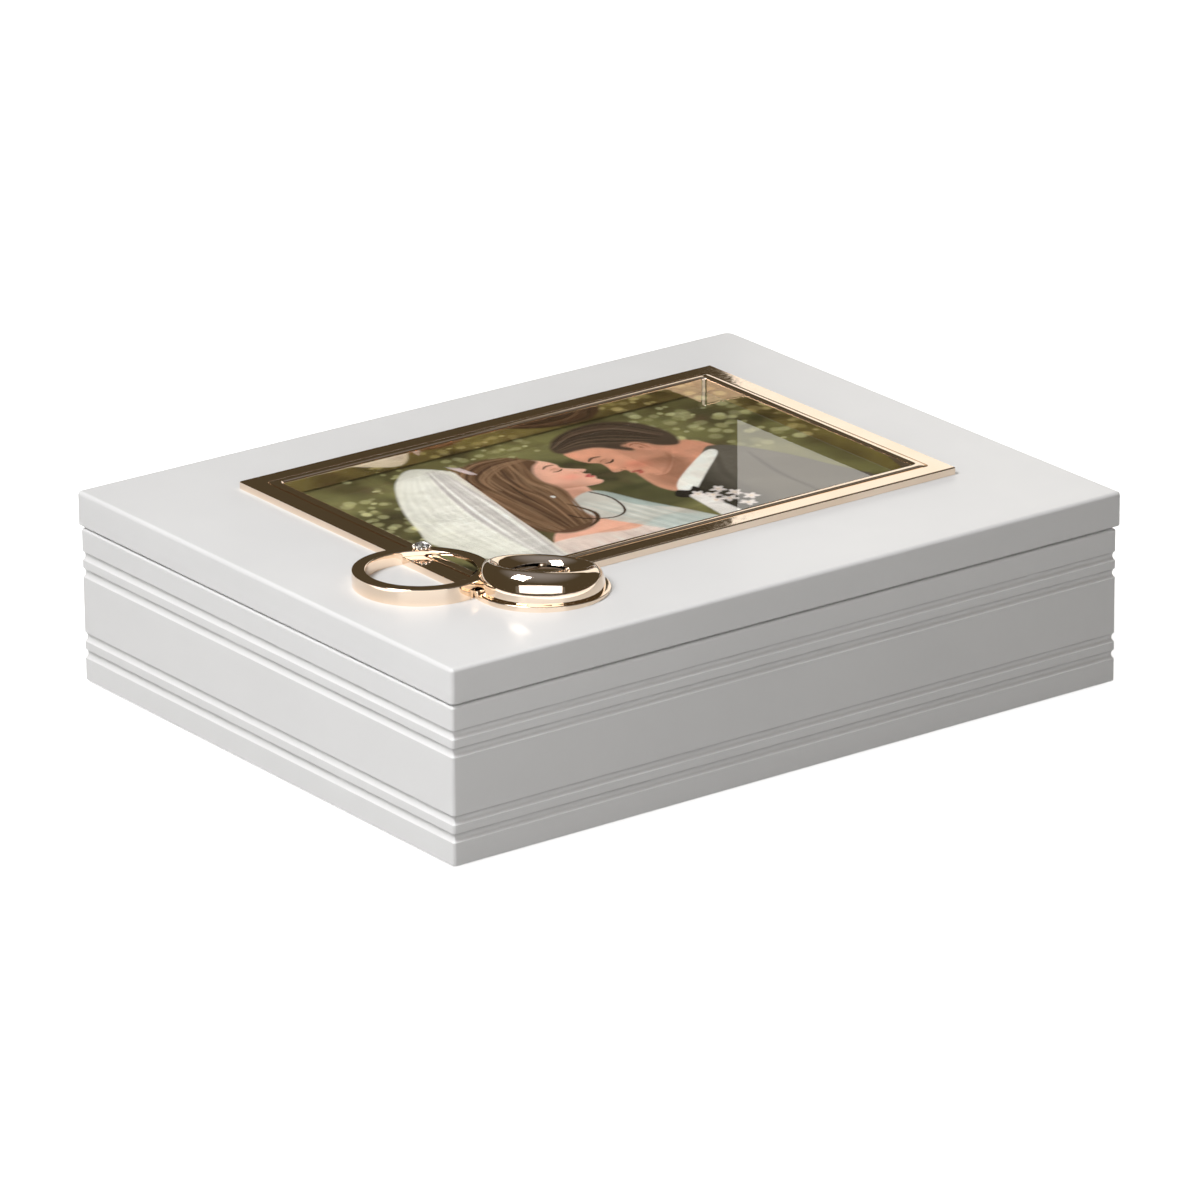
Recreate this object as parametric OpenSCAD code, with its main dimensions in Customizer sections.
// Keepsake box for wedding cards: a painted MDF box whose hinged lid holds a glazed photo frame,
// with a pair of linked rings cast over one corner of the frame.
// X runs along the width, Y from the front to the hinges, Z up. The origin is on the floor,
// below the middle of the whole object, hinge barrels included. Millimetres.

/* [Lid] */
// Width of the lid
lid_w = 230; // [224:1:270]
// Depth of the lid, front to back
lid_d = 180; // [172:1:220]
// Thickness of the lid board
lid_t = 10.2; // [10:0.2:14]
// Radius on the lid's upper edges
lid_edge_r = 1.6; // [0.6:0.2:2.4]
// How far the lid overhangs the box at the right and at the back
overhang = 1.6; // [1:0.1:2]

/* [Box] */
// Height of the four walls
wall_h = 45.3; // [43:0.1:70]
// Thickness of the four walls
wall_t = 8; // [8:0.5:10]
// Gap between the walls and the closed lid
lid_gap = 0.5; // [0.4:0.1:0.8]
// Thickness of the bottom panel
bottom_t = 3; // [2:0.5:4]
// Thickness of the felt under the box
felt_t = 0.8; // [0.5:0.1:1.5]
// Thickness of the velvet-covered cards on the walls
lining_t = 1.2; // [0.8:0.1:2]
// Thickness of the velvet-covered floor pad
floor_pad_t = 1.5; // [1:0.1:3]

/* [Grooves] */
// Distance of the outer groove from the nearer edge of the wall
groove_outer = 8; // [5:0.1:10]
// Distance between the two grooves of a pair
groove_pitch = 5.05; // [4:0.05:6]
// Width of a groove at the wall's face
groove_w = 2.7; // [1.6:0.1:3]
// Depth of a groove
groove_depth = 0.75; // [0.4:0.05:1.2]

/* [Frame] */
// Width of the bezel outside
bezel_w = 165.5; // [160:0.5:170]
// Depth of the bezel outside
bezel_d = 113.5; // [110:0.5:118]
// Distance from the lid's left edge to the bezel
bezel_x = 36.9; // [32:0.1:42]
// Distance from the lid's front edge to the bezel
bezel_y = 39.6; // [36:0.1:42]
// Width of the bezel's border
bezel_border = 8.5; // [7.5:0.1:10]
// Depth of the glass below the lid's face
glass_drop = 2; // [1.6:0.1:2.4]
// Thickness of the glass
glass_t = 2; // [1.6:0.1:2.5]

/* [Rings] */
// Radius of both rings at the lid
ring_r = 19; // [17:0.1:19.2]
// Distance from one ring's centre to the other's
ring_pitch = 32.8; // [32:0.1:34]
// Height of the flat ring at its middle
flat_ring_h = 4.1; // [4:0.1:5]
// Tilt of the flat ring
flat_ring_tilt = 1.8; // [0:0.1:2]
// Half the width of the domed ring's oval section
dome_half_w = 3.2; // [3:0.1:3.4]
// Half the height of that section
dome_half_h = 6; // [5.6:0.1:6.4]
// Tilt of the domed ring
dome_ring_tilt = 11; // [8:0.5:12]

/* [Hinges] */
// Length of each hinge
hinge_l = 24; // [20:1:30]
// Distance from each end of the lid to the middle of its hinge
hinge_inset = 45; // [30:1:60]
// How far the lid opens before the hinges' lugs stop it
open_angle = 100; // [95:1:105]

/* [Hidden] */
$fn = 48;
eps = 1; // how far a cutter runs past the face that it cuts

// Heights of the main faces above the floor
wall_top = felt_t + wall_h;
lid_bottom = wall_top + lid_gap;
lid_top = lid_bottom + lid_t;
pad_top = felt_t + bottom_t + floor_pad_t;

// Plan of the box below the lid
box_w = lid_w - overhang;
box_d = lid_d - overhang;
corner_r = 1;
panel_lap = 4;       // width of the rebate that takes the bottom panel
panel_play = 0.1;    // clearance round the bottom panel
felt_inset = 2.5;
lining_drop = 2;     // how far the wall linings stop below the walls' upper edges

// Photo frame: the glass, print, card and backing lie in a rebate under the lid
pane_w = 152;
pane_d = 102;
print_w = 150;
print_d = 100;
pane_play = 0.5;
print_t = 0.3;
card_t = 1.4;
bezel_flange_h = 1.9;
bezel_bead_h = 2.6;
bezel_bead_w = 2.8;
bezel_lip_t = 1;
frame_mid = [bezel_x + bezel_w / 2, bezel_y + bezel_d / 2];
backing_t = lid_t - glass_drop - glass_t - print_t - card_t;

// Rings: their centres lie either side of the bezel's front left corner, on one diagonal
ring_mid = [bezel_x + 7.34, bezel_y + 8.22];
ring_diagonal = -46;
ring_step = [cos(ring_diagonal), sin(ring_diagonal)] * ring_pitch / 2;
flat_ring_at = ring_mid - ring_step;
dome_ring_at = ring_mid + ring_step;
flat_ring_inner_r = 15.2;
flat_ring_rise = 233;      // direction in which the flat ring rises
dome_ring_mid_r = 14.3;
dome_mid_h = 1;            // height of the middle of the domed ring's section above the lid
dome_ring_rise = 217;      // direction in which the domed ring rises
foot_inner_r = 12;
foot_h = 0.85;             // height of the domed ring's foot at its middle
foot_tilt = 2;
ring_over_bezel = bezel_bead_h + 0.1;

// Crystal on the flat ring's band
crystal_dir = 54.2;
crystal_seat_r = 17;
crystal_r = 2.7;

// Hinges: the axis lies behind the lid, level with the middle of the gap
leaf_t = 0.8;
leaf_depth = 7;
barrel_r = 1.6;
barrel_clear = 0.2;
pin_r = 0.75;
pin_running = 0.05;
pin_press = 0.01;
knuckle_l = 6;
knuckle_gap = 0.2;
screw_r = 0.8;
screw_head_r = 1.5;
screw_head_t = 0.7;
screw_play = 0.02;
screw_spread = 7;
leaf_edge = barrel_r + 0.5;   // how near the leaves come to the axis between the knuckles
axis_y = lid_d + barrel_r + barrel_clear;
axis_z = wall_top + lid_gap / 2;
hinge_xs = [hinge_inset, lid_w - hinge_inset];
screw_from_back = wall_t / 2;

// Stop lug on each lid leaf: it swings down and forward until it meets the base leaf from below
lug_len = 3.2;
lug_t = 0.9;
lug_root = 1.1;      // the lug starts inside the barrel's wall
lug_clear = 0.1;
leaf_corner = [leaf_edge, lid_gap / 2 + leaf_t];   // the base leaf's lower edge, seen from the axis
lug_meet = atan2(leaf_corner[1], leaf_corner[0]) + asin((lug_t / 2 + lug_clear) / norm(leaf_corner));
lug_rest = -180 + lug_meet + open_angle;
lug_back = lug_len * cos(lug_rest) + lug_t / 2 * abs(sin(lug_rest));
y_mid = (axis_y + max(lug_back, barrel_r)) / 2;

// Turn buttons that hold the backing in the lid
button_l = 16;
button_w = 7;
button_t = 0.9;
button_play = 0.15;
button_pivot = 4.4;   // distance from the rebate's edge to the pivot
button_screw_r = 1.22;
button_hole_r = 1.3;
button_head_r = 2.5;
button_head_t = 1.2;
button_screw_l = 7;
bumper_r = 3;
bumper_t = lid_gap - 0.1;

// Moves a piece drawn from the lid's front left corner into the part's frame
module placed() translate([-lid_w / 2, -y_mid, 0]) children();

// The same thing on each of a rectangle's four sides: 0 front, 1 right, 2 back, 3 left.
// A side is drawn as the front one, with X along it and Y inwards
module on_side(side, w, d)
    translate([side == 1 || side == 2 ? w : 0, side >= 2 ? d : 0, 0])
        rotate(90 * side) children();
function side_length(side, w, d) = side % 2 == 0 ? w : d;

// A 2D section with X inwards and Y up, run along the X axis
module run(length) rotate([90, 0, 90]) linear_extrude(length) children();

// Prism that leaves 45 degree mitres at both ends of a side
module mitre(length, depth, low, high)
    translate([0, 0, low]) linear_extrude(high - low)
        polygon([[0, 0], [length, 0], [length - depth, depth], [depth, depth]]);

module round_rect(w, d, r) {
    translate([r, 0]) square([w - 2 * r, d]);
    translate([0, r]) square([w, d - 2 * r]);
    for (x = [r, w - r], y = [r, d - r]) translate([x, y]) circle(r);
}

// What an edge along X loses when it is rounded: the edge is at Y = 0, Z = 0, below and behind
module edge_waste(length, r)
    translate([-eps, 0, 0]) run(length + 2 * eps) difference() {
        translate([-eps, -r]) square([r + eps, r + eps]);
        translate([r, -r]) circle(r);
    }

function arc(cx, cy, r, from, to, steps = 8) =
    [for (i = [0:steps]) let (a = from + (to - from) * i / steps) [cx + r * cos(a), cy + r * sin(a)]];

/* ---- Box ---- */

// Section of a wall: outer face at X = 0, grooves in it, and a rebate for the bottom panel
module wall_section() {
    groove_r = (pow(groove_w / 2, 2) + pow(groove_depth, 2)) / (2 * groove_depth);
    difference() {
        square([wall_t, wall_h]);
        translate([panel_lap, -eps]) square([wall_t, bottom_t + eps]);
        for (edge = [0, 1], step = [0, 1]) {
            from_edge = groove_outer + step * groove_pitch;
            translate([groove_depth - groove_r, edge == 0 ? from_edge : wall_h - from_edge])
                circle(groove_r);
        }
    }
}

module wall(side) {
    length = side_length(side, box_w, box_d);
    top_edge_r = 0.8;
    translate([0, 0, felt_t]) on_side(side, box_w, box_d) difference() {
        intersection() {
            run(length) wall_section();
            mitre(length, wall_t, -eps, wall_h + eps);
            linear_extrude(wall_h) round_rect(length, 2 * wall_t, corner_r);
        }
        translate([0, 0, wall_h]) edge_waste(length, top_edge_r);
    }
}

module front_wall() color("white") placed() wall(0);
module right_wall() color("white") placed() wall(1);
module left_wall() color("white") placed() wall(3);

module back_wall() color("white") placed() difference() {
    wall(2);
    for (x = hinge_xs) {
        translate([x - hinge_l / 2, box_d - leaf_depth, wall_top - leaf_t])
            cube([hinge_l, leaf_depth + eps, leaf_t + eps]);
        at_leaf_screws(x) translate([0, 0, wall_top - hinge_screw_l - screw_play])
            cylinder(r = screw_r + screw_play, h = hinge_screw_l + eps);
    }
}

module bottom_panel() color("tan") placed()
    translate([panel_lap + panel_play, panel_lap + panel_play, felt_t])
        cube([box_w - 2 * (panel_lap + panel_play), box_d - 2 * (panel_lap + panel_play), bottom_t]);

module underside_felt() color("dimgray") placed()
    translate([felt_inset, felt_inset, 0])
        linear_extrude(felt_t) round_rect(box_w - 2 * felt_inset, box_d - 2 * felt_inset, 3);

module floor_pad() color("ivory") placed()
    translate([wall_t + panel_play, wall_t + panel_play, felt_t + bottom_t])
        cube([box_w - 2 * (wall_t + panel_play), box_d - 2 * (wall_t + panel_play), floor_pad_t]);

// Velvet-covered card against one wall; the front and back ones run into the corners
module lining(side) {
    length = side_length(side, box_w, box_d) - 2 * wall_t;
    end = side % 2 == 0 ? panel_play : lining_t + panel_play;
    translate([0, 0, pad_top]) on_side(side, box_w, box_d)
        translate([wall_t + end, wall_t, 0])
            cube([length - 2 * end, lining_t, wall_top - lining_drop - pad_top]);
}

module front_lining() color("ivory") placed() lining(0);
module right_lining() color("ivory") placed() lining(1);
module back_lining() color("ivory") placed() lining(2);
module left_lining() color("ivory") placed() lining(3);

module lid_bumpers() color("gainsboro") placed()
    for (x = [wall_t * 2, box_w - wall_t * 2])
        translate([x, wall_t / 2, wall_top]) cylinder(r = bumper_r, h = bumper_t);

/* ---- Lid ---- */

// Rectangle centred on the photo frame, from one height to another above the lid's face
module frame_block(w, d, low, high)
    translate([frame_mid[0] - w / 2, frame_mid[1] - d / 2, lid_top + low]) cube([w, d, high - low]);

module lid_panel() color("white") placed() difference() {
    translate([0, 0, lid_bottom]) linear_extrude(lid_t) round_rect(lid_w, lid_d, corner_r);
    for (side = [0:3])
        translate([0, 0, lid_top]) on_side(side, lid_w, lid_d)
            edge_waste(side_length(side, lid_w, lid_d), lid_edge_r);
    frame_block(bezel_w - 2 * (bezel_border - bezel_lip_t), bezel_d - 2 * (bezel_border - bezel_lip_t),
                -lid_t, eps);
    frame_block(pane_w + 2 * pane_play, pane_d + 2 * pane_play, -lid_t - eps, -glass_drop);
    for (x = hinge_xs) {
        translate([x - hinge_l / 2, box_d - leaf_depth, lid_bottom - eps])
            cube([hinge_l, lid_d - box_d + leaf_depth + eps, leaf_t + eps]);
        at_leaf_screws(x) translate([0, 0, lid_bottom - eps])
            cylinder(r = screw_r + screw_play, h = hinge_screw_l + screw_play + eps);
    }
    for (side = [0:3]) at_button(side) translate([0, 0, lid_bottom - eps])
        cylinder(r = button_screw_r + screw_play, h = button_screw_l + eps);
}

// Section of the bezel's border: X inwards from its outer edge, Y up from the lid's face
module bezel_section() {
    edge_r = 0.4;
    bead_x = bezel_border - bezel_bead_w / 2;
    bead_r = bezel_bead_w / 2;
    polygon(concat(
        [[0, 0]],
        arc(edge_r, bezel_flange_h - edge_r, edge_r, 180, 90, 4),
        [for (p = arc(bead_x, 0, bead_r, 180, 0, 12))
            [p[0], bezel_flange_h + p[1] / bead_r * (bezel_bead_h - bezel_flange_h)]],
        [[bezel_border, -glass_drop], [bezel_border - bezel_lip_t, -glass_drop],
         [bezel_border - bezel_lip_t, 0]]));
}

module bezel() color("goldenrod") placed()
    translate([bezel_x, bezel_y, lid_top])
        for (side = [0:3]) {
            length = side_length(side, bezel_w, bezel_d);
            on_side(side, bezel_w, bezel_d) intersection() {
                run(length) bezel_section();
                mitre(length, bezel_border, -lid_t, lid_t);
            }
        }

module glass_pane() color("lightcyan", 0.4) placed()
    frame_block(pane_w, pane_d, -glass_drop - glass_t, -glass_drop);

module photo_print() color("darkolivegreen") placed()
    frame_block(print_w, print_d, -glass_drop - glass_t - print_t, -glass_drop - glass_t);

module spacer_card() color("lightgray") placed()
    frame_block(pane_w, pane_d, -lid_t + backing_t, -glass_drop - glass_t - print_t);

module backing_board() color("ivory") placed()
    frame_block(pane_w, pane_d, -lid_t, -lid_t + backing_t);

/* ---- Rings ---- */

// Everything that the bezel's border and the open recess need clear under the rings
module bezel_clearance()
    translate([bezel_x - 0.1, bezel_y - 0.1, lid_top - glass_drop])
        cube([bezel_w, bezel_d, glass_drop + ring_over_bezel]);

// Leans a ring, drawn about the Z axis, so that it rises in one direction
module lean(tilt, direction) rotate(a = tilt, v = [sin(direction), -cos(direction), 0]) children();

module above_lid(at)
    translate([at[0] - 2 * ring_r, at[1] - 2 * ring_r, lid_top]) cube([4 * ring_r, 4 * ring_r, ring_r]);

module leaning_with_flat_ring()
    translate([flat_ring_at[0], flat_ring_at[1], lid_top]) lean(flat_ring_tilt, flat_ring_rise) children();

module flat_ring_solid() {
    edge = 0.3;
    sink = 2;
    intersection() {
        leaning_with_flat_ring()
            rotate_extrude($fn = 96)
                polygon([[flat_ring_inner_r, -sink], [ring_r, -sink], [ring_r, flat_ring_h - edge],
                         [ring_r - edge, flat_ring_h], [flat_ring_inner_r + edge, flat_ring_h],
                         [flat_ring_inner_r, flat_ring_h - edge]]);
        above_lid(flat_ring_at);
    }
}

// The domed ring is oval in section and leans; a low foot runs round it
module dome_ring_solid() {
    translate([dome_ring_at[0], dome_ring_at[1], lid_top]) intersection() {
        difference() {
            cylinder(r = ring_r, h = 2 * foot_h);
            translate([0, 0, -eps]) cylinder(r = foot_inner_r, h = 2 * foot_h + 2 * eps);
        }
        translate([0, 0, foot_h]) lean(foot_tilt, dome_ring_rise)
            translate([0, 0, -2 * ring_r]) cylinder(r = 2 * ring_r, h = 2 * ring_r);
    }
    intersection() {
        translate([dome_ring_at[0], dome_ring_at[1], lid_top + dome_mid_h])
            lean(dome_ring_tilt, dome_ring_rise) rotate_extrude($fn = 96)
                translate([dome_ring_mid_r, 0]) scale([dome_half_w, dome_half_h]) circle(1);
        above_lid(dome_ring_at);
    }
}

module ring_flat() color("gold") placed() difference() {
    flat_ring_solid();
    bezel_clearance();
    dome_ring_solid();
}

module ring_domed() color("gold") placed() difference() {
    dome_ring_solid();
    bezel_clearance();
}

module on_flat_ring()
    leaning_with_flat_ring() rotate(crystal_dir) translate([crystal_seat_r, 0, flat_ring_h]) children();

setting_h = 1.1;
module crystal_setting() color("silver") placed() on_flat_ring()
    difference() {
        cylinder(r1 = 1.6, r2 = crystal_r + 0.1, h = setting_h);
        translate([0, 0, 0.2]) cylinder(r1 = 0.5, r2 = crystal_r - 0.2, h = setting_h);
    }

module crystal() color("azure", 0.6) placed() on_flat_ring()
    translate([0, 0, 0.45]) {
        cylinder(r1 = 0.3, r2 = crystal_r - 0.65, h = 0.65);
        translate([0, 0, 0.65]) cylinder(r = crystal_r - 0.65, h = 0.15);
        translate([0, 0, 0.8]) cylinder(r1 = crystal_r - 0.65, r2 = crystal_r * 0.4, h = 0.5);
    }

/* ---- Hinges ---- */

hinge_screw_l = 6.5;

module at_leaf_screws(x)
    for (side = [-1, 1])
        translate([x + side * screw_spread, box_d - screw_from_back, 0]) children();

// A countersunk screw with its head's face at Z = 0 and its point below
module leaf_screw() {
    translate([0, 0, -screw_head_t]) cylinder(r1 = screw_r, r2 = screw_head_r - screw_play, h = screw_head_t);
    translate([0, 0, -hinge_screw_l]) cylinder(r = screw_r, h = hinge_screw_l - screw_head_t);
}

module screw_hole() {
    translate([0, 0, -screw_head_t]) cylinder(r1 = screw_r + screw_play, r2 = screw_head_r, h = screw_head_t);
    translate([0, 0, -2 * leaf_t]) cylinder(r = screw_r + screw_play, h = 2 * leaf_t);
}

// Barrel along X about the hinge axis
module barrel(x, length, r) translate([x, axis_y, axis_z]) rotate([0, 90, 0]) cylinder(r = r, h = length);

module base_leaf(x) {
    left = x - hinge_l / 2;
    middle_l = hinge_l - 2 * knuckle_l;
    color("darkgoldenrod") placed() difference() {
        union() {
            translate([left, box_d - leaf_depth, wall_top - leaf_t])
                cube([hinge_l, axis_y - leaf_edge - box_d + leaf_depth, leaf_t]);
            for (start = [left, left + hinge_l - knuckle_l]) {
                translate([start, axis_y - leaf_edge, wall_top - leaf_t]) cube([knuckle_l, leaf_edge, leaf_t]);
                barrel(start, knuckle_l, barrel_r);
            }
        }
        barrel(left - eps, hinge_l + 2 * eps, pin_r + pin_running);
        barrel(left + knuckle_l, middle_l, barrel_r + barrel_clear);
        at_leaf_screws(x) translate([0, 0, wall_top]) screw_hole();
    }
}

module lid_leaf(x) {
    left = x - hinge_l / 2;
    middle = left + knuckle_l + knuckle_gap;
    middle_l = hinge_l - 2 * (knuckle_l + knuckle_gap);
    color("darkgoldenrod") placed() difference() {
        union() {
            translate([left, box_d - leaf_depth, lid_bottom])
                cube([hinge_l, axis_y - leaf_edge - box_d + leaf_depth, leaf_t]);
            translate([middle, axis_y - leaf_edge, lid_bottom]) cube([middle_l, leaf_edge, leaf_t]);
            barrel(middle, middle_l, barrel_r);
            translate([middle, axis_y, axis_z]) rotate([lug_rest, 0, 0])
                translate([0, lug_root, -lug_t / 2]) cube([middle_l, lug_len - lug_root, lug_t]);
        }
        barrel(middle - eps, middle_l + 2 * eps, pin_r + pin_press);
        at_leaf_screws(x) translate([0, 0, lid_bottom]) mirror([0, 0, 1]) screw_hole();
    }
}

module hinge_pin(x) color("darkgoldenrod") placed() barrel(x - hinge_l / 2, hinge_l, pin_r);

module hinge_base_leaf_left() base_leaf(hinge_xs[0]);
module hinge_base_leaf_right() base_leaf(hinge_xs[1]);
module hinge_lid_leaf_left() lid_leaf(hinge_xs[0]);
module hinge_lid_leaf_right() lid_leaf(hinge_xs[1]);
module hinge_pin_left() hinge_pin(hinge_xs[0]);
module hinge_pin_right() hinge_pin(hinge_xs[1]);

module hinge_base_screws() color("darkgoldenrod") placed()
    for (x = hinge_xs) at_leaf_screws(x) translate([0, 0, wall_top]) leaf_screw();

module hinge_lid_screws() color("darkgoldenrod") placed()
    for (x = hinge_xs) at_leaf_screws(x) translate([0, 0, lid_bottom]) mirror([0, 0, 1]) leaf_screw();

/* ---- Turn buttons ---- */

// Each side's pivot stands outside the middle of the rebate, and +Y points over the backing
module at_button(side) {
    w = pane_w + 2 * pane_play;
    d = pane_d + 2 * pane_play;
    translate([frame_mid[0] - w / 2, frame_mid[1] - d / 2, 0]) on_side(side, w, d)
        translate([side_length(side, w, d) / 2, -button_pivot, 0]) children();
}

module turn_button(side) color("darkgoldenrod") placed() at_button(side)
    translate([0, 0, lid_bottom - button_play - button_t]) linear_extrude(button_t) difference() {
        union() {
            circle(button_w / 2);
            translate([-button_w / 2, 0]) square([button_w, button_l - button_w]);
            translate([0, button_l - button_w]) circle(button_w / 2);
        }
        circle(button_hole_r);
    }

module turn_button_front() turn_button(0);
module turn_button_right() turn_button(1);
module turn_button_back() turn_button(2);
module turn_button_left() turn_button(3);

module turn_button_screws() color("darkgoldenrod") placed() {
    head_top = lid_bottom - 2 * button_play - button_t;
    for (side = [0:3]) at_button(side) {
        translate([0, 0, head_top - button_head_t]) cylinder(r = button_head_r, h = button_head_t);
        translate([0, 0, head_top]) cylinder(r = button_screw_r, h = lid_bottom + button_screw_l - eps - head_top);
    }
}

front_wall();
back_wall();
left_wall();
right_wall();
bottom_panel();
underside_felt();
floor_pad();
front_lining();
back_lining();
left_lining();
right_lining();
lid_bumpers();
hinge_base_leaf_left();
hinge_base_leaf_right();
hinge_base_screws();
lid_panel();
bezel();
glass_pane();
photo_print();
spacer_card();
backing_board();
ring_flat();
ring_domed();
crystal_setting();
crystal();
hinge_lid_leaf_left();
hinge_lid_leaf_right();
hinge_pin_left();
hinge_pin_right();
hinge_lid_screws();
turn_button_screws();
turn_button_front();
turn_button_back();
turn_button_left();
turn_button_right();
